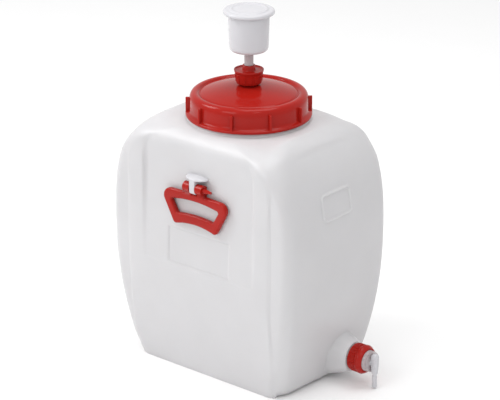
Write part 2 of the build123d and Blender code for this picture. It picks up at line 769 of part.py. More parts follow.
def tap_spout():
    """Turning half of the tap: a hollow plug with a side port, and the spout with its nozzle."""
    plug_back = sleeve_back - running_fit
    end = plug_back - plug_barb_length
    plug = hollow(plug_radius, end, spout_centre)
    standing = (Align.CENTER, Align.CENTER, Align.MIN)
    barb = Cone(plug_radius - plug_barb_length / 4, plug_barb_radius, plug_barb_length, align=standing)
    plug = plug + Pos(0, 0, end) * barb
    for place in o_ring_places():
        plug = plug - plug_groove(place)
    face = RectangleRounded(spout_width, spout_above_axis + spout_below_axis, spout_corner)
    grip = extrude(face, spout_thickness)
    grip = fillet(grip.edges().group_by(Axis.Z)[0] + grip.edges().group_by(Axis.Z)[-1], spout_edge)
    grip = Pos(0, (spout_above_axis - spout_below_axis) / 2, spout_back) * grip
    nozzle = Cylinder(nozzle_radius, nozzle_length, align=standing)
    nozzle = chamfer(nozzle.edges().group_by(Axis.Z)[-1], nozzle_tip_chamfer)
    relief = extrude(Circle(2 * nozzle_radius) - Circle(nozzle_neck_radius), nozzle_neck_length + spout_edge)
    nozzle = nozzle - relief
    nozzle = Pos(0, spout_edge - spout_below_axis, spout_centre) * Rot(90, 0, 0) * nozzle
    spout = plug + grip + nozzle
    bore_start = sleeve_back + port_from_end - port_radius
    spout = spout - hollow(plug_bore, bore_start, spout_centre)
    flow = Cylinder(nozzle_bore, 2 * spout_below_axis + nozzle_length, align=standing)
    spout = spout - Pos(0, nozzle_bore, spout_centre) * Rot(90, 0, 0) * flow
    port = Cylinder(port_radius, 2 * plug_radius, align=(Align.CENTER, Align.CENTER, Align.MIN))
    spout = spout - Pos(0, 0, sleeve_back + port_from_end) * Rot(90, 0, 0) * port
    return on_tap_axis(spout, 0)


def tap_o_rings():
    """The two O-rings that seal the plug in its sleeve."""
    thickness = o_ring_thickness
    hoop = Torus(plug_radius - thickness / 2, thickness / 2)
    rings = [on_tap_axis(hoop, place) for place in o_ring_places()]
    return Compound(children=rings)


half_turn = Rot(0, 0, 180)
centred = Pos(0, (spout_back + spout_thickness - belly_half_length) / 2, 0)
shell = barrel()
lug = handle_lug() - shell
shell_sections = sections(shell)
upper = [section for section in shell_sections if section.center().Z > panel_cut]
lower = [section for section in shell_sections if section.center().Z < panel_cut]
pieces = {
    "barrel": Compound(children=upper),
    "barrel_base": Compound(children=lower),
    "barrel_neck": barrel_neck(),
    "drain_spigot": drain_spigot(),
    "handle_lug_left": lug,
    "handle_lug_right": half_turn * lug,
    "lid": lid(),
    "lid_seal": lid_seal(),
    "airlock_cap": airlock_cap(),
    "airlock_seal": airlock_seal(),
    "airlock_cup": airlock_cup(),
    "airlock_tube": airlock_tube(),
    "airlock_bell": airlock_bell(),
    "airlock_cover": airlock_cover(),
    "handle_left": handle(),
    "handle_right": half_turn * handle(),
    "handle_pin_left": handle_pin(),
    "handle_pin_right": half_turn * handle_pin(),
    "tap_nut": tap_nut(),
    "tap_seal": tap_seal(),
    "tap_body": tap_body(),
    "tap_spout": tap_spout(),
    "tap_o_rings": tap_o_rings(),
}

os.makedirs("parts", exist_ok=True)
for name, piece in pieces.items():
    placed = [centred * solid for solid in piece.solids()]
    export_step(placed[0] if len(placed) == 1 else Compound(placed), f"parts/{name}.step")
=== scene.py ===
import math

import bpy
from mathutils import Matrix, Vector


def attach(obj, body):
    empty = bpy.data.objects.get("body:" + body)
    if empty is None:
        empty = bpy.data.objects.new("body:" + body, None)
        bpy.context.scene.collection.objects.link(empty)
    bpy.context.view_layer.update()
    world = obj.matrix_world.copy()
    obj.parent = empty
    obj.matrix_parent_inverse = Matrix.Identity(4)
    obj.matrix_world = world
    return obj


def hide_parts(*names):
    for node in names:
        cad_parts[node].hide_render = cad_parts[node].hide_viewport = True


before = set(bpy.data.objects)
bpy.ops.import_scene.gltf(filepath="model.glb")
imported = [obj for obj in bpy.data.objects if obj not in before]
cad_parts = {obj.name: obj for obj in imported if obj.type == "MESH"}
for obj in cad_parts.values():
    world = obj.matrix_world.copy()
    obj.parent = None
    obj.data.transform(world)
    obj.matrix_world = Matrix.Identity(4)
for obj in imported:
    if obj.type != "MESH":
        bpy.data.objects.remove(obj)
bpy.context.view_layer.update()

# Barrel shell: one blow-moulded body of milky polyethylene, open at the neck.
# Strap ribs run over its shoulders, the side panels between them are sunk, and the
# lower front swells into a boss for the tap, off its middle. The wall is 3 mm.
MM = 0.001
neck_y = 33.45
belly_half_width = 158.0
side_belly_height = 250
side_foot_tuck = 24
shoulder_start = 484
shoulder_rise = 45
shoulder_tuck = 60
belly_half_length = 240.0
end_belly_height = 300
end_foot_tuck = 45
end_top_reach = 95
end_top_tuck = 145
end_top_rise = 229
end_roundness = 2.6
end_crown = 5.0
corner_radius = 26.0
foot_corner_height = 60
foot_corner_gain = 14.0
top_corner_start = 444
top_corner_rise = 82
top_corner_gain = 64.0
shell_wall = 3


def eased(value, edge, width):
    """0 below an edge and 1 above it, with a soft crossing of the given width."""
    share = min(1.0, max(0.0, (value - edge) / width + 0.5))
    return share * share * (3 - 2 * share)


def half_width(height):
    """Half the barrel's width at a height: bowed below, straight above, round shoulder."""
    if height < side_belly_height:
        below = (side_belly_height - height) / side_belly_height
        return belly_half_width - side_foot_tuck * below**2
    if height <= shoulder_start:
        return belly_half_width
    above = (height - shoulder_start) / shoulder_rise
    return belly_half_width - shoulder_tuck * (1 - math.sqrt(1 - above**2))


def half_length(height):
    """Half the barrel's length at a height: both ends bow and curl in over the top."""
    if height < end_belly_height:
        below = (end_belly_height - height) / end_belly_height
        return belly_half_length - end_foot_tuck * below**2
    above = (height - end_belly_height) / end_top_rise
    return end_top_reach + end_top_tuck * (1 - above**end_roundness) ** (1 / end_roundness)


def corner(height):
    """Radius of the upright corners, opening out at the foot and over the shoulder."""
    if height < foot_corner_height:
        below = (foot_corner_height - height) / foot_corner_height
        return corner_radius + foot_corner_gain * below**2
    if height <= top_corner_start:
        return corner_radius
    above = (height - top_corner_start) / top_corner_rise
    return corner_radius + top_corner_gain * above**2


side_stations = [
    0, 20, 40, 58, 72, 76.5, 78, 79.5, 81, 86, 100, 118, 132, 139, 142, 143.5,
    145, 147, 152, 161, 171, 178, 181.5, 183.2, 184.8, 186.5, 190, 196,
]
side_span = 200.0
side_knee = 150.0
end_count = 36
corner_count = 14


def perimeter():
    """Stations round the barrel, anticlockwise from above: kind, side or corner, and share."""
    stations = []
    for share in range(end_count):
        stations.append(("end", -1, -1 + 2 * share / end_count))
    for share in range(corner_count):
        stations.append(("corner", (1, -1), -90 + 90 * share / corner_count))
    for y in [-y for y in reversed(side_stations)] + side_stations[1:]:
        stations.append(("side", 1, y))
    for share in range(1, corner_count + 1):
        stations.append(("corner", (1, 1), 90 * share / corner_count))
    for share in range(1, end_count + 1):
        stations.append(("end", 1, 1 - 2 * share / end_count))
    for share in range(1, corner_count + 1):
        stations.append(("corner", (-1, 1), 90 + 90 * share / corner_count))
    for y in list(reversed(side_stations)) + [-y for y in side_stations[1:]]:
        stations.append(("side", -1, y))
    for share in range(1, corner_count + 1):
        stations.append(("corner", (-1, -1), 180 + 90 * share / corner_count))
    return stations


def outline_point(station, width, length, radius):
    """Where a station lies on one level outline of the barrel."""
    kind, sign, share = station
    straight = width - radius
    edge = length - end_crown * (straight / width) ** 2
    if kind == "end":
        return share * straight, sign * (length - end_crown * (share * straight / width) ** 2)
    if kind == "side":
        reach = edge - radius
        y = abs(share)
        knee = min(side_knee, 0.8 * reach)
        if y > knee:
            y = knee + (y - knee) * (reach - knee) / (side_span - knee)
        return sign * width, math.copysign(y, share)
    turn = math.radians(share)
    return (
        sign[0] * straight + radius * math.cos(turn),
        sign[1] * (edge - radius) + radius * math.sin(turn),
    )


rib_height = 2.5
rib_edge = 184.0
skid_edge = 177.0
skid_height = 46
panel_foot = 236
panel_edge = 143
panel_rise = 164
neck_flat = 122
recess_edge = 79
recess_foot = 240
recess_top = 316
recess_depth = 2.0


def standing(x, y, z):
    """How far the shell stands out from the plain bowed form: ribs, less panel and recess."""
    along = abs(y)
    reach = math.hypot(x, y)
    stand = rib_height * (1 - eased(along, skid_edge if z < skid_height else rib_edge, 5))
    depth = 1.0 + 5.0 * min(1.0, max(0.0, (z - panel_foot) / panel_rise))
    panel = eased(z, panel_foot, 5) * (1 - eased(along, panel_edge, 11)) * eased(reach, neck_flat, 7)
    if abs(x) < 100 and reach > 200:
        panel = 0.0
    stand -= depth * panel
    if x < -120:
        recess = (1 - eased(along, recess_edge, 3)) * eased(z, recess_foot, 3)
        recess *= 1 - eased(z, recess_top, 3)
        stand -= recess_depth * recess
    return stand


stations = perimeter()
foot = 3.0
foot_round = 10
skid_round = 3
levels = [
    14, 18, 22, 28, 36, 42, 46, 50, 58, 66, 74, 82, 90, 98, 106, 114, 122, 130, 138, 146, 156, 168,
    180, 192, 204, 216, 226, 232, 234.5, 236, 237.5, 239.2, 240.8, 243, 250, 262, 274, 286, 298,
    308, 313, 315, 317, 319, 324, 334, 346, 358, 370, 382, 394, 402, 412, 424, 436, 446, 456, 464,
    471, 477, 482, 486, 490, 494, 498, 502, 505.5, 509, 512, 515, 517.5, 520, 521.5,
]
under_shares = [0.02, 0.3, 0.6, 0.68, 0.715, 0.73, 0.745, 0.76, 0.8, 0.88, 0.95]
round_turns = [0, 18, 36, 54, 72]
crown_rings = [
    (127, 525.0), (125, 525.6), (123.5, 526), (122, 526), (120.5, 526), (119, 526), (117, 526),
    (114, 526), (112.2, 526.6),
]
neck_rings = [
    (111.3, 530), (111, 533), (111, 545), (111, 556), (111, 561), (110.3, 561.8), (109.5, 562),
]

rows = []
for share in under_shares:
    row = []
    for station in stations:
        x, y = outline_point(station, half_width(0), half_length(foot) - foot_round, 30)
        x, y = share * x, share * y
        skid = (1 - eased(abs(y), 175, 5)) * eased(abs(x), 100, 5)
        row.append((x, y, foot - foot * skid))
    rows.append(row)
for turn in round_turns:
    row = []
    bend = math.radians(turn)
    for station in stations:
        x, y = outline_point(station, half_width(foot), half_length(foot), corner(foot))
        skid = 1 - eased(abs(y), skid_edge, 5)
        radius = foot_round - (foot_round - skid_round) * skid
        inset = radius * (1 - math.sin(bend))
        base = foot - foot * skid
        width = half_width(base) - inset
        length = half_length(foot) - inset
        x, y = outline_point(station, width, length, corner(foot) - inset)
        row.append((x, y, base + radius * (1 - math.cos(bend))))
    rows.append(row)
for level in levels:
    row = []
    for station in stations:
        x, y = outline_point(station, half_width(level), half_length(level), corner(level))
        row.append((x, y, level))
    rows.append(row)
top_level = rows[-1]
for radius, level in crown_rings + neck_rings:
    row = []
    for x, y, z in top_level:
        reach = math.hypot(x, y)
        row.append((radius * x / reach, radius * y / reach, level))
    rows.append(row)

row_count = len(rows)
column_count = len(stations)
shaped = []
plain_rows = len(under_shares)
neck_start = row_count - len(neck_rings)
for j in range(row_count):
    row = []
    for i in range(column_count):
        here = Vector(rows[j][i])
        if plain_rows <= j < neck_start:
            ahead = Vector(rows[min(j + 1, row_count - 1)][i]) - Vector(rows[max(j - 1, 0)][i])
            round_way = Vector(rows[j][(i + 1) % column_count]) - Vector(rows[j][i - 1])
            normal = round_way.cross(ahead).normalized()
            here = here + normal * standing(here.x, here.y, here.z)
            here.z = max(0.0, here.z)
        row.append(here)
    shaped.append(row)

bpy.ops.object.select_all(action="DESELECT")
bpy.ops.mesh.primitive_grid_add(x_subdivisions=column_count, y_subdivisions=row_count - 1, size=1)
barrel_shell = bpy.context.object
barrel_shell.name = "barrel_shell"
for j in range(row_count):
    for i in range(column_count + 1):
        place = shaped[j][i % column_count]
        vertex = barrel_shell.data.vertices[j * (column_count + 1) + i]
        vertex.co = Vector((place.x, place.y + neck_y, place.z)) * MM

bpy.ops.object.mode_set(mode="EDIT")
bpy.ops.mesh.select_all(action="SELECT")
bpy.ops.mesh.remove_doubles(threshold=0.00005)
bpy.ops.mesh.select_mode(type="VERT")
bpy.ops.mesh.select_all(action="DESELECT")
bpy.ops.object.mode_set(mode="OBJECT")
for vertex in barrel_shell.data.vertices:
    x, y, z = vertex.co / MM
    in_floor_middle = math.hypot(x, y - neck_y) < 8 and z < foot_round
    vertex.select = in_floor_middle
bpy.ops.object.mode_set(mode="EDIT")
bpy.ops.mesh.merge(type="CENTER")
bpy.ops.mesh.select_all(action="SELECT")
bpy.ops.mesh.normals_make_consistent(inside=False)
bpy.ops.mesh.select_all(action="DESELECT")
bpy.ops.object.mode_set(mode="OBJECT")

# Front of the shell: a swollen boss for the tap and a plain raised frame higher up, on finer
# faces than the rest. Both are moulded in one with the wall.
frame_x = -10.0
frame_height = 397
frame_half_width = 33
frame_half_height = 16
frame_corner = 10
frame_ridge = 2.5
tap_x = 36.0
tap_height = 56.5
tap_bore = 22.5
boss_face = 248.0
boss_face_radius = 29.0
boss_root = 43.0
boss_drop = 52.5


def near_boss(x, z):
    return abs(x - tap_x) < 54 and z < tap_height + 54


def near_frame(x, z):
    return abs(x - frame_x) < 56 and 355 < z < 440


for face in barrel_shell.data.polygons:
    spot = face.center / MM
    on_front = spot.y - neck_y < -180
    face.select = on_front and (near_boss(spot.x, spot.z) or near_frame(spot.x, spot.z))
bpy.ops.object.mode_set(mode="EDIT")
bpy.ops.mesh.select_mode(type="FACE")
bpy.ops.mesh.subdivide(number_cuts=4)
bpy.ops.mesh.select_all(action="DESELECT")
bpy.ops.object.mode_set(mode="OBJECT")


def boss_share(x, z):
    """1 on the boss's face behind the nut, falling to 0 where it runs out in the wall."""
    across = (x - tap_x) / boss_root
    above = (z - tap_height) / (boss_root if z > tap_height else boss_drop)
    power = 2 if z > tap_height else 3.2
    spread = (abs(across) ** power + abs(above) ** power) ** (1 / power)
    reach = math.hypot(x - tap_x, z - tap_height)
    if reach <= boss_face_radius:
        return 1.0
    root = reach / spread
    share = min(1.0, (reach - boss_face_radius) / (root - boss_face_radius))
    return 1 - share * share * (3 - 2 * share)


def front_reach(x, z):
    """How far the front wall lies from the neck axis, with the boss and the raised frame."""
    wall = half_length(z) - end_crown * (x / half_width(z)) ** 2
    if z < foot + foot_round:
        below = (foot + foot_round - z) / foot_round
        wall -= foot_round * (1 - math.sqrt(max(0.0, 1 - below**2)))
    wall += (boss_face - wall) * boss_share(x, z)
    across = max(0.0, abs(x - frame_x) - frame_half_width)
    above = max(0.0, abs(z - frame_height) - frame_half_height)
    ring = abs(math.hypot(across, above) - frame_corner) if across or above else frame_corner
    return wall + frame_ridge * (1 - eased(ring, 2.2, 3))


for vertex in barrel_shell.data.vertices:
    x, y, z = vertex.co / MM
    on_wall = y - neck_y < -180 and abs(x) < 108 and z > foot + 0.05
    if on_wall and (near_boss(x, z) or near_frame(x, z)):
        vertex.co.y = (neck_y - front_reach(x, z)) * MM

for face in barrel_shell.data.polygons:
    spot = face.center / MM
    in_bore = math.hypot(spot.x - tap_x, spot.z - tap_height) < tap_bore
    face.select = in_bore and spot.y - neck_y < -200
bpy.ops.object.mode_set(mode="EDIT")
bpy.ops.mesh.delete(type="FACE")
bpy.ops.object.mode_set(mode="OBJECT")


def pick(piece):
    """Select one piece alone and make it the active one."""
    bpy.ops.object.select_all(action="DESELECT")
    piece.select_set(True)
    bpy.context.view_layer.objects.active = piece


pick(barrel_shell)
shoulder_corners = barrel_shell.vertex_groups.new(name="shoulder_corners")
for vertex in barrel_shell.data.vertices:
    x, y, z = vertex.co / MM
    softness = eased(z, 462, 30) * (1 - eased(z, 521, 8))
    softness *= eased(abs(x), 75, 40)
    softness *= eased(abs(y - neck_y), 120, 40)
    if softness > 0:
        shoulder_corners.add([vertex.index], softness, "REPLACE")
softened = barrel_shell.modifiers.new("softened", "SMOOTH")
softened.vertex_group = shoulder_corners.name
softened.factor = 0.5
softened.iterations = 14
bpy.ops.object.modifier_apply(modifier=softened.name)
wall_thickness = barrel_shell.modifiers.new("wall", "SOLIDIFY")
wall_thickness.thickness = shell_wall * MM
wall_thickness.offset = -1
bpy.ops.object.modifier_apply(modifier=wall_thickness.name)
bpy.ops.object.shade_smooth_by_angle(angle=math.radians(40))


def plastic(name, colour, roughness, mottling, grain, depth):
    """Moulded plastic: a slightly uneven colour and the fine grain of the mould's skin."""
    material = bpy.data.materials.new(name)
    material.use_nodes = True
    nodes = material.node_tree.nodes
    links = material.node_tree.links
    shader = nodes["Principled BSDF"]
    place = nodes.new("ShaderNodeTexCoord")
    cloud = nodes.new("ShaderNodeTexNoise")
    cloud.inputs["Scale"].default_value = 9.0
    cloud.inputs["Detail"].default_value = 4.0
    links.new(place.outputs["Object"], cloud.inputs["Vector"])
    tint = nodes.new("ShaderNodeValToRGB")
    tint.color_ramp.elements[0].position = 0.3
    tint.color_ramp.elements[1].position = 0.7
    tint.color_ramp.elements[0].color = tuple(c * (1 - mottling) for c in colour) + (1,)
    tint.color_ramp.elements[1].color = tuple(min(1.0, c * (1 + mottling)) for c in colour) + (1,)
    links.new(cloud.outputs["Fac"], tint.inputs["Fac"])
    links.new(tint.outputs["Color"], shader.inputs["Base Color"])
    skin = nodes.new("ShaderNodeTexNoise")
    skin.inputs["Scale"].default_value = grain
    skin.inputs["Detail"].default_value = 3.0
    links.new(place.outputs["Object"], skin.inputs["Vector"])
    gloss = nodes.new("ShaderNodeMapRange")
    gloss.inputs["To Min"].default_value = roughness * 0.85
    gloss.inputs["To Max"].default_value = roughness * 1.15
    links.new(skin.outputs["Fac"], gloss.inputs["Value"])
    links.new(gloss.outputs["Result"], shader.inputs["Roughness"])
    bump = nodes.new("ShaderNodeBump")
    bump.inputs["Strength"].default_value = 0.25
    bump.inputs["Distance"].default_value = depth
    links.new(skin.outputs["Fac"], bump.inputs["Height"])
    links.new(bump.outputs["Normal"], shader.inputs["Normal"])
    return material


milky_tint = (0.60, 0.585, 0.595)
milky_polyethylene = plastic("milky_polyethylene", milky_tint, 0.40, 0.02, 160.0, 0.0004)
milky = milky_polyethylene.node_tree.nodes["Principled BSDF"]
milky.inputs["Subsurface Weight"].default_value = 0.35
milky.inputs["Subsurface Radius"].default_value = (1.0, 0.9, 0.85)
milky.inputs["Subsurface Scale"].default_value = 0.02
barrel_shell.data.materials.append(milky_polyethylene)
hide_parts("barrel", "barrel_base", "barrel_neck")
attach(barrel_shell, "barrel")

# Drain spigot, and the screw threads of the neck and of the spigot: rounded ridges, moulded
# in one with the barrel. The lid climbs 9 mm a turn and the tap's nut 4 mm.
lid_lead = 9.0
nut_lead = 4.0


def settle(piece, place, turn=(0, 0, 0)):
    """Move and turn a finished piece to its place, in millimetres and degrees, and keep it there."""
    pick(piece)
    piece.location = Vector(place) * MM
    piece.rotation_euler = [math.radians(angle) for angle in turn]
    bpy.ops.object.transform_apply(location=True, rotation=True, scale=True)


def finish(piece, material, slot, body, *nodes):
    """Give a piece its material, smooth faces and its place on a body of the frame."""
    piece.data.materials.clear()
    piece.data.materials.append(material)
    pick(piece)
    bpy.ops.object.shade_smooth_by_angle(angle=math.radians(38))
    if nodes:
        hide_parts(*nodes)
    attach(piece, body)


def recolour(material, *nodes):
    """Give solids that are shown as they are their material."""
    for node in nodes:
        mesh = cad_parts[node].data
        mesh.materials.clear()
        mesh.materials.append(material)


def thread(name, radius, ridge, pitch, turns, start):
    """A helical ridge round the upright axis, on a core of the given radius."""
    bpy.ops.object.select_all(action="DESELECT")
    bpy.ops.mesh.primitive_plane_add(size=1, location=(0, 0, 0))
    piece = bpy.context.object
    piece.name = name
    root = radius - 0.4
    crest = radius + ridge
    section = ((root, 0.36), (root, -0.36), (crest, 0.13), (crest, -0.13))
    for vertex, (reach, share) in zip(piece.data.vertices, section):
        vertex.co = Vector((reach, 0, start + share * pitch)) * MM
    sweep = piece.modifiers.new("sweep", "SCREW")
    sweep.axis = "Z"
    sweep.screw_offset = pitch * MM
    sweep.iterations = turns
    sweep.steps = 96
    sweep.render_steps = 96
    bpy.ops.object.modifier_apply(modifier=sweep.name)
    bpy.ops.object.mode_set(mode="EDIT")
    bpy.ops.mesh.select_all(action="SELECT")
    bpy.ops.mesh.remove_doubles(threshold=0.00002)
    bpy.ops.mesh.select_all(action="SELECT")
    bpy.ops.mesh.fill_holes(sides=4)
    bpy.ops.mesh.select_all(action="SELECT")
    bpy.ops.mesh.normals_make_consistent(inside=False)
    bpy.ops.mesh.bevel(offset=0.12 * ridge * MM, segments=2, affect="EDGES")
    bpy.ops.mesh.select_all(action="DESELECT")
    bpy.ops.object.mode_set(mode="OBJECT")
    return piece


neck_thread = thread("neck_thread", 111.0, 3.0, lid_lead, 2, 539.0)
settle(neck_thread, (0, neck_y, 0))
finish(neck_thread, milky_polyethylene, "barrel_plastic", "barrel")
spigot_thread = thread("spigot_thread", 24.5, 1.2, nut_lead, 5, 0.0)
settle(spigot_thread, (tap_x, neck_y - 251.0, tap_height), (90, 0, 0))
finish(spigot_thread, milky_polyethylene, "barrel_plastic", "barrel")
recolour(milky_polyethylene, "drain_spigot")

# Handle lugs: a stem under a rounded mushroom roof, moulded white on each side panel.
# The handle's pin goes through the stem.
panel_face = 154.5
pin_x = 166.5
pin_height = 418.0
pin_hole_radius = 4.15
roof_size = (21, 27.5, 5.6)
roof_above_pin = 19.5
stem_size = (22.5, 14, 31)
stem_reach = 9.75
stem_above_pin = 3.5
stem_corner = 8
white_tint = (0.55, 0.545, 0.57)
white_polypropylene = plastic("white_polypropylene", white_tint, 0.25, 0.02, 240.0, 0.00002)
white = white_polypropylene.node_tree.nodes["Principled BSDF"]
white.inputs["Subsurface Weight"].default_value = 0.3
white.inputs["Subsurface Radius"].default_value = (1.0, 0.9, 0.9)
white.inputs["Subsurface Scale"].default_value = 0.002


def merge(piece, other, operation):
    """Add another piece to a piece, or take it away, and remove the other."""
    pick(piece)
    step = piece.modifiers.new("merge", "BOOLEAN")
    step.operation = operation
    step.solver = "EXACT"
    step.object = other
    bpy.ops.object.modifier_apply(modifier=step.name)
    bpy.data.objects.remove(other, do_unlink=True)


bpy.ops.object.select_all(action="DESELECT")
bpy.ops.mesh.primitive_uv_sphere_add(segments=48, ring_count=24, radius=1, location=(0, 0, 0))
lug_left = bpy.context.object
lug_left.name = "lug_left"
bpy.ops.object.mode_set(mode="EDIT")
bpy.ops.mesh.select_all(action="SELECT")
bpy.ops.transform.resize(value=[side * MM for side in roof_size], center_override=(0, 0, 0))
bpy.ops.transform.translate(value=(-panel_face * MM, 0, (pin_height + roof_above_pin) * MM))
bpy.ops.mesh.bisect(
    plane_co=(-(panel_face - 1.5) * MM, 0, 0),
    plane_no=(1, 0, 0),
    use_fill=True,
    clear_outer=True,
)
bpy.ops.object.mode_set(mode="OBJECT")

bpy.ops.object.select_all(action="DESELECT")
bpy.ops.mesh.primitive_cube_add(size=1, location=(0, 0, 0))
stem = bpy.context.object
bpy.ops.object.mode_set(mode="EDIT")
bpy.ops.mesh.select_all(action="SELECT")
bpy.ops.transform.resize(value=[side * MM for side in stem_size], center_override=(0, 0, 0))
stem_place = (-(panel_face + stem_reach) * MM, 0, (pin_height + stem_above_pin) * MM)
bpy.ops.transform.translate(value=stem_place)
bpy.ops.mesh.select_all(action="DESELECT")
bpy.ops.object.mode_set(mode="OBJECT")
for edge in stem.data.edges:
    ends = [stem.data.vertices[number].co / MM for number in edge.vertices]
    edge.select = all(end.z < pin_height and end.x < -panel_face - 5 for end in ends)
bpy.ops.object.mode_set(mode="EDIT")
bpy.ops.mesh.select_mode(type="EDGE")
bpy.ops.mesh.bevel(offset=stem_corner * MM, segments=8, affect="EDGES")
bpy.ops.object.mode_set(mode="OBJECT")
merge(lug_left, stem, "UNION")
skin = lug_left.modifiers.new("skin", "REMESH")
skin.mode = "VOXEL"
skin.voxel_size = 0.9 * MM
bpy.ops.object.modifier_apply(modifier=skin.name)
soften = lug_left.modifiers.new("soften", "SMOOTH")
soften.factor = 0.5
soften.iterations = 6
bpy.ops.object.modifier_apply(modifier=soften.name)
bpy.ops.object.select_all(action="DESELECT")
bpy.ops.mesh.primitive_cylinder_add(
    vertices=48,
    radius=pin_hole_radius * MM,
    depth=60 * MM,
    location=(-pin_x * MM, 0, pin_height * MM),
    rotation=(math.pi / 2, 0, 0),
)
pin_hole = bpy.context.object
merge(lug_left, pin_hole, "DIFFERENCE")
lug_right = lug_left.copy()
lug_right.data = lug_left.data.copy()
lug_right.name = "lug_right"
bpy.context.scene.collection.objects.link(lug_right)
settle(lug_left, (0, neck_y, 0))
settle(lug_right, (0, neck_y, 0), (0, 0, 180))
finish(lug_left, white_polypropylene, "barrel_plastic", "barrel", "handle_lug_left")
finish(lug_right, white_polypropylene, "barrel_plastic", "barrel", "handle_lug_right")

# Lid: glossy red polypropylene, a shallow dome inside a groove and a rounded rim, with ten
# upright grip plates on its skirt and a bead round its foot. It screws over the neck.
red_tint = (0.34, 0.011, 0.007)
red_polypropylene = plastic("red_polypropylene", red_tint, 0.12, 0.06, 240.0, 0.00003)
red = red_polypropylene.node_tree.nodes["Principled BSDF"]
red.inputs["Specular IOR Level"].default_value = 0.18
dome_centre = 297.14
dome_radius = 293.86
under_radius = 289.86
grip_count = 10
grip_start = 24
grip_size = (9.4, 5, 36)
grip_reach = 122.0
grip_height = 547.6


def turned(name, profile, segments):
    """A turned form about the upright axis: a ring drawn along a profile of radii and heights."""
    bpy.ops.object.select_all(action="DESELECT")
    bpy.ops.mesh.primitive_circle_add(vertices=segments, radius=profile[0][0] * MM, location=(0, 0, 0))
    piece = bpy.context.object
    piece.name = name
    bpy.ops.object.mode_set(mode="EDIT")
    bpy.ops.mesh.select_mode(type="VERT")
    bpy.ops.mesh.select_all(action="SELECT")
    bpy.ops.transform.translate(value=(0, 0, profile[0][1] * MM))
    for number in range(1, len(profile)):
        radius, height = profile[number]
        last_radius, last_height = profile[number - 1]
        step = (0, 0, (height - last_height) * MM)
        bpy.ops.mesh.extrude_region_move(TRANSFORM_OT_translate={"value": step})
        share = radius / last_radius
        if share != 1:
            bpy.ops.transform.resize(value=(share, share, 1), center_override=(0, 0, height * MM))
    bpy.ops.mesh.select_all(action="SELECT")
    bpy.ops.mesh.remove_doubles(threshold=0.00004)
    bpy.ops.mesh.normals_make_consistent(inside=False)
    bpy.ops.mesh.select_all(action="DESELECT")
    bpy.ops.object.mode_set(mode="OBJECT")
    return piece


dome = []
for radius in (20, 28, 40, 52, 64, 76, 86, 93, 96.5):
    dome.append((radius, dome_centre + math.sqrt(dome_radius**2 - radius**2)))
under_dome = []
for radius in (102.5, 86, 64, 40, 11):
    under_dome.append((radius, dome_centre + math.sqrt(under_radius**2 - radius**2)))
lid_profile = [
    (11, 610.3), (11.7, 611), (13.3, 611), (14, 610.3), (14, 594), (14.7, 591.8), (16.4, 590.7),
    *dome, (97.6, 573.5), (98.6, 573.0), (99.7, 573.3), (100.8, 574.6), (102.2, 575.8),
    (104.4, 576.7), (107, 577), (110, 576.7), (112.8, 575.7), (115.3, 573.8), (117.3, 571.0),
    (118.7, 567.2), (119.3, 562.5), (119.5, 556), (119.5, 541), (120.1, 538.6), (121.8, 536.8),
    (124.4, 535.4), (126.2, 534.6), (127, 533.4), (127, 530), (126.5, 529.3), (125.7, 529),
    (116, 529), (115.2, 529.8), (115.2, 565), (102.5, 565), *under_dome, (11, 610.3),
]
lid_moulding = turned("lid_moulding", lid_profile, 160)

bpy.ops.object.select_all(action="DESELECT")
bpy.ops.mesh.primitive_cube_add(size=1, location=(0, 0, 0))
grip = bpy.context.object
bpy.ops.object.mode_set(mode="EDIT")
bpy.ops.mesh.select_all(action="SELECT")
bpy.ops.transform.resize(value=[side * MM for side in grip_size], center_override=(0, 0, 0))
bpy.ops.transform.translate(value=(grip_reach * MM, 0, grip_height * MM))
bpy.ops.mesh.bevel(offset=1.1 * MM, segments=3, affect="EDGES")
bpy.ops.object.mode_set(mode="OBJECT")
grips = []
for number in range(grip_count):
    plate = grip.copy()
    plate.data = grip.data.copy()
    bpy.context.scene.collection.objects.link(plate)
    settle(plate, (0, 0, 0), (0, 0, grip_start + 360 / grip_count * number))
    grips.append(plate)
bpy.data.objects.remove(grip, do_unlink=True)
bpy.ops.object.select_all(action="DESELECT")
for plate in grips:
    plate.select_set(True)
bpy.context.view_layer.objects.active = grips[0]
bpy.ops.object.join()
merge(lid_moulding, grips[0], "UNION")
settle(lid_moulding, (0, neck_y, 0))
finish(lid_moulding, red_polypropylene, "red_plastic", "lid", "lid")

# Nipple thread: a fine red ridge moulded on the lid's nipple, which the airlock cap screws
# on. The cap climbs 3 mm a turn.
cap_lead = 3.0
nipple_thread = thread("nipple_thread", 14.0, 1.6, cap_lead, 4, 597.0)
settle(nipple_thread, (0, neck_y, 0))
finish(nipple_thread, red_polypropylene, "red_plastic", "lid")

# Flat seals of the lid, the airlock cap and the tap: rings stamped from pale rubber sheet.
# Each is clamped between the two pieces that it seals.
pale_rubber = plastic("pale_rubber", (0.6, 0.59, 0.56), 0.6, 0.05, 400.0, 0.0002)
recolour(pale_rubber, "lid_seal", "airlock_seal", "tap_seal")

# Airlock cap: red polypropylene, ribbed for the fingers, with a thin dished lip and a
# collar round the airlock's tube. It screws on the lid's nipple.
rib_stand = 0.9


def finger_ribs(piece, heights, reach, spacing, gap, edge):
    """Raise ribs on a turned piece between two heights, one for each step of an angle."""
    for face in piece.data.polygons:
        spot = face.center / MM
        around = math.degrees(math.atan2(spot.y, spot.x)) % spacing
        on_band = heights[0] < spot.z < heights[1] and math.hypot(spot.x, spot.y) > reach
        face.select = on_band and gap < around < spacing - gap
    bpy.ops.object.mode_set(mode="EDIT")
    bpy.ops.mesh.select_mode(type="FACE")
    bpy.ops.mesh.inset(thickness=edge * MM, depth=rib_stand * MM)
    bpy.ops.mesh.select_all(action="DESELECT")
    bpy.ops.object.mode_set(mode="OBJECT")


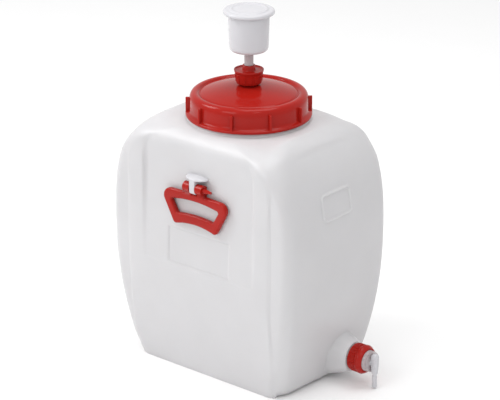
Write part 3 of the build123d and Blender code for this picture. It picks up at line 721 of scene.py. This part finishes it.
cap_profile = [
    (9.35, 631.4), (9.9, 632), (12.1, 632), (12.7, 631.4), (12.7, 622.6), (13.5, 621.2),
    (15, 620.7), (25.4, 620.4), (27.2, 620.9), (28.6, 622.5), (29.3, 623), (29.8, 622.9),
    (30, 622.3), (29.8, 620.2), (29.1, 618), (27.7, 616.6), (27.4, 614.8), (26.2, 599.5),
    (25.6, 596.6), (24.4, 594.7), (22.6, 594), (17.8, 594), (17, 594.8), (17, 614), (9.35, 614),
    (9.35, 631.4),
]
cap_moulding = turned("cap_moulding", cap_profile, 144)
finger_ribs(cap_moulding, (599.5, 614.5), 25.5, 30, 4, 0.6)
settle(cap_moulding, (0, neck_y, 0))
finish(cap_moulding, red_polypropylene, "red_plastic", "airlock_cap", "airlock_cap")

# Airlock cup, tube and bell: thin milky polypropylene, moulded. The tube is bonded in the
# cup's floor, and the loose bell stands over it in the sealing water.
cup_profile = [
    (9.2, 662), (30, 662), (33.2, 662.4), (36, 663.7), (38, 666), (39, 669), (39.4, 673),
    (40.2, 700), (41, 726), (41.4, 740), (41.2, 742.6), (40.6, 743), (39.7, 742.6), (39.4, 740),
    (39, 726), (38.2, 700), (37.4, 673), (37, 670), (36, 667.5), (34, 665.2), (31, 664.1),
    (28, 664), (9.2, 664), (9.2, 662),
]
cup_moulding = turned("cup_moulding", cup_profile, 128)
settle(cup_moulding, (0, neck_y, 0))
finish(cup_moulding, white_polypropylene, "white_plastic", "airlock", "airlock_cup")
frosted_tint = (0.42, 0.36, 0.37)
frosted_polypropylene = plastic("frosted_polypropylene", frosted_tint, 0.3, 0.03, 240.0, 0.0001)
frosted = frosted_polypropylene.node_tree.nodes["Principled BSDF"]
frosted.inputs["Subsurface Weight"].default_value = 0.5
frosted.inputs["Subsurface Radius"].default_value = (1.0, 0.8, 0.8)
frosted.inputs["Subsurface Scale"].default_value = 0.01
recolour(frosted_polypropylene, "airlock_tube", "airlock_bell")

# Airlock cover: the same milky plastic, a shallow lid with a raised ring and a rolled rim.
# It rests loose on the cup, and a spigot under it keeps it in the middle.
cover_profile = [
    (0.02, 748.6), (12, 748.5), (22, 748.1), (29, 747.5), (31.4, 747.5), (32.6, 748.2),
    (34.2, 748.9), (36, 748.9), (37.6, 748.2), (38.8, 747.2), (41, 746.8), (44, 746.9),
    (46.6, 747), (48.8, 746.4), (50.5, 745.1), (51.4, 743.3), (51.5, 741.6), (51.1, 740),
    (50.4, 739.2), (49.6, 739), (48.9, 739.6), (48.6, 741.2), (48.2, 742.7), (47.4, 743.1),
    (39, 743.1), (39, 737.5), (38.6, 737), (37.5, 737), (37.1, 737.5), (37.1, 743.1),
    (0.02, 743.1),
]
cover_moulding = turned("cover_moulding", cover_profile, 128)
settle(cover_moulding, (0, neck_y, 0))
finish(cover_moulding, white_polypropylene, "white_plastic", "airlock_cover", "airlock_cover")

# Carrying handles and their pins: solid red polypropylene with rounded edges. Each pin is
# pushed through the handle's ears and the lug, and its barbed tip holds it.


def moulded_copy(node, name):
    """A copy of a solid with its faces joined, to be finished as a moulded piece."""
    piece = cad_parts[node].copy()
    piece.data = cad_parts[node].data.copy()
    piece.name = name
    bpy.context.scene.collection.objects.link(piece)
    pick(piece)
    bpy.ops.object.mode_set(mode="EDIT")
    bpy.ops.mesh.select_all(action="SELECT")
    bpy.ops.mesh.remove_doubles(threshold=0.00002)
    bpy.ops.mesh.select_all(action="DESELECT")
    bpy.ops.object.mode_set(mode="OBJECT")
    return piece


for node in ("handle_left", "handle_right", "handle_pin_left", "handle_pin_right"):
    moulded = moulded_copy(node, node + "_moulding")
    finish(moulded, red_polypropylene, "red_plastic", node.replace("_pin", ""), node)

# Union nut of the tap: red polypropylene, finely ribbed behind a smooth collar with a
# conical front. It screws on the spigot and clamps the tap's flange.
nut_profile = [
    (26.2, 250.5), (27.6, 250.5), (28.3, 251), (28.5, 252), (28.5, 254), (28.5, 268),
    (28.6, 269.2), (29.5, 270), (30, 271), (30, 275.6), (29.5, 276.8), (25.9, 282.4),
    (25.2, 283.2), (24.3, 283.5), (22.7, 283.5), (22, 282.9), (22, 279.6), (26.2, 279.6),
    (26.2, 250.5),
]
nut_moulding = turned("nut_moulding", nut_profile, 120)
finger_ribs(nut_moulding, (254, 268), 27.5, 12, 3, 0.4)
settle(nut_moulding, (tap_x, neck_y, tap_height), (90, 0, 0))
finish(nut_moulding, red_polypropylene, "red_plastic", "tap_nut", "tap_nut")

# Tap: a frosted body with its hub in the nut, and a spout that turns in it on a plug with
# two O-rings. Both halves are moulded polypropylene.
hub_front = 293.5
hub_edge_radius = 21.0
hub_rim = 1.3
hub_dish = 1.4
body_moulding = moulded_copy("tap_body", "body_moulding")
for vertex in body_moulding.data.vertices:
    x, y, z = vertex.co / MM
    reach = math.hypot(x - tap_x, z - tap_height)
    if neck_y - y > hub_front - 0.1 and reach > 14:
        vertex.co.x = (tap_x + (x - tap_x) * hub_edge_radius / reach) * MM
        vertex.co.z = (tap_height + (z - tap_height) * hub_edge_radius / reach) * MM
for face in body_moulding.data.polygons:
    face.select = neck_y - face.center.y / MM > hub_front - 0.1
bpy.ops.object.mode_set(mode="EDIT")
bpy.ops.mesh.select_mode(type="FACE")
bpy.ops.mesh.inset(thickness=hub_rim * MM, depth=-hub_dish * MM)
bpy.ops.mesh.select_all(action="DESELECT")
bpy.ops.object.mode_set(mode="OBJECT")
finish(body_moulding, frosted_polypropylene, "white_plastic", "tap", "tap_body")
black_rubber = plastic("black_rubber", (0.02, 0.02, 0.02), 0.5, 0.1, 400.0, 0.0002)
recolour(black_rubber, "tap_o_rings")

spout_reach = 300.4
spout_core = (12, 13, 4)
spout_core_height = 11
plug_profile = [
    (0.02, 235.5), (6.6, 235.5), (7, 235.8), (9.3, 239.2), (9.3, 239.4), (8, 239.45), (8, 266.4),
    (5.75, 266.4), (5.75, 268.6), (8, 268.6), (8, 284.4), (5.75, 284.4), (5.75, 286.6), (8, 286.6),
    (8, 293), (6.5, 293.9), (6, 299), (0.02, 299),
]
plug = turned("plug", plug_profile, 64)
settle(plug, (0, 0, 0), (90, 0, 0))
nozzle_profile = [
    (0.02, -24), (3.6, -24), (3.6, -52.9), (3.9, -53), (4.5, -53), (5, -52.4), (5, -29),
    (4.9, -28.4), (4.5, -28), (4.5, -25.6), (5, -24.4), (5.5, -23), (5.5, -18), (0.02, -18),
]
nozzle = turned("nozzle", nozzle_profile, 48)
settle(nozzle, (0, -spout_reach, 0))


def draw_out(level, steps):
    """Extrude the chosen face of the spout from a level through heights, narrowing at each."""
    for height, wide, deep in steps:
        step = (0, 0, (height - level) * MM)
        centre = (0, -spout_reach * MM, height * MM)
        bpy.ops.mesh.extrude_region_move(TRANSFORM_OT_translate={"value": step})
        bpy.ops.transform.resize(value=(wide, deep, 1), center_override=centre)
        level = height


bpy.ops.object.select_all(action="DESELECT")
bpy.ops.mesh.primitive_cube_add(size=1, location=(0, 0, 0))
spout_moulding = bpy.context.object
spout_moulding.name = "spout_moulding"
bpy.ops.object.mode_set(mode="EDIT")
bpy.ops.mesh.select_all(action="SELECT")
bpy.ops.transform.resize(value=[side * MM for side in spout_core], center_override=(0, 0, 0))
bpy.ops.transform.translate(value=(0, -spout_reach * MM, spout_core_height * MM))
bpy.ops.mesh.select_all(action="DESELECT")
bpy.ops.object.mode_set(mode="OBJECT")
for face in spout_moulding.data.polygons:
    face.select = face.normal.z > 0.5
bpy.ops.object.mode_set(mode="EDIT")
bpy.ops.mesh.select_mode(type="FACE")
draw_out(13.0, [(17.2, 0.86, 0.84), (19.0, 0.62, 0.60)])
bpy.ops.mesh.select_all(action="DESELECT")
bpy.ops.object.mode_set(mode="OBJECT")
for face in spout_moulding.data.polygons:
    face.select = face.normal.z < -0.5
bpy.ops.object.mode_set(mode="EDIT")
draw_out(9.0, [(-4.0, 0.97, 0.97), (-16.0, 0.9, 0.88), (-22.0, 0.9, 0.9), (-25.0, 0.82, 0.82)])
bpy.ops.mesh.select_all(action="SELECT")
bpy.ops.mesh.normals_make_consistent(inside=False)
bpy.ops.mesh.select_all(action="DESELECT")
bpy.ops.object.mode_set(mode="OBJECT")
pick(spout_moulding)
edge_round = spout_moulding.modifiers.new("edge_round", "BEVEL")
edge_round.width = 1.6 * MM
edge_round.segments = 4
edge_round.limit_method = "ANGLE"
edge_round.angle_limit = math.radians(20)
bpy.ops.object.modifier_apply(modifier=edge_round.name)
merge(spout_moulding, plug, "UNION")
merge(spout_moulding, nozzle, "UNION")
settle(spout_moulding, (tap_x, neck_y, tap_height))
finish(spout_moulding, white_polypropylene, "white_plastic", "spout", "tap_spout")

# Studio: a plain pale floor, an even white surround, three soft lights and a small one for
# the glints, and a camera at the photograph's angle.
bpy.ops.object.select_all(action="DESELECT")
bpy.ops.mesh.primitive_plane_add(size=40)
floor = bpy.context.object
floor.name = "floor"
floor.data.materials.append(plastic("pale_floor", (0.93, 0.93, 0.93), 0.8, 0.003, 30.0, 0.0001))

world = bpy.context.scene.world or bpy.data.worlds.new("studio")
bpy.context.scene.world = world
world.use_nodes = True
surround = world.node_tree.nodes["Background"]
surround.inputs["Color"].default_value = (1, 1, 1, 1)
surround.inputs["Strength"].default_value = 0.78


def soft_light(name, place, target, size, power):
    """A square softbox at a place, turned to a target."""
    lamp = bpy.data.lights.new(name, "AREA")
    lamp.size = size
    lamp.energy = power
    holder = bpy.data.objects.new(name, lamp)
    bpy.context.scene.collection.objects.link(holder)
    holder.location = place
    holder.rotation_euler = (Vector(target) - Vector(place)).to_track_quat("-Z", "Y").to_euler()


soft_light("key", (-2.9, 0.0, 2.0), (0, 0, 0.35), 1.4, 17)
soft_light("back", (-1.4, 2.1, 2.7), (0, 0, 0.4), 1.4, 45)
soft_light("top", (0.3, -0.3, 3.2), (0, 0, 0.3), 1.8, 30)
soft_light("glint", (-1.3, -2.0, 2.9), (0, 0, 0.5), 0.22, 7)

heading = math.radians(49.93)
pitch = math.radians(21.51)
camera_reach = 4.6452
camera_height = 2.1736
camera_data = bpy.data.cameras.new("camera")
camera_data.lens = 177.2
camera_data.sensor_width = 36
camera_data.shift_x = 0.0022
camera = bpy.data.objects.new("camera", camera_data)
bpy.context.scene.collection.objects.link(camera)
camera.location = (
    -camera_reach * math.sin(heading),
    -camera_reach * math.cos(heading) + neck_y * MM,
    camera_height,
)
camera.rotation_euler = (math.pi / 2 - pitch, 0, -heading)
bpy.context.scene.camera = camera
bpy.context.scene.view_settings.view_transform = "Standard"
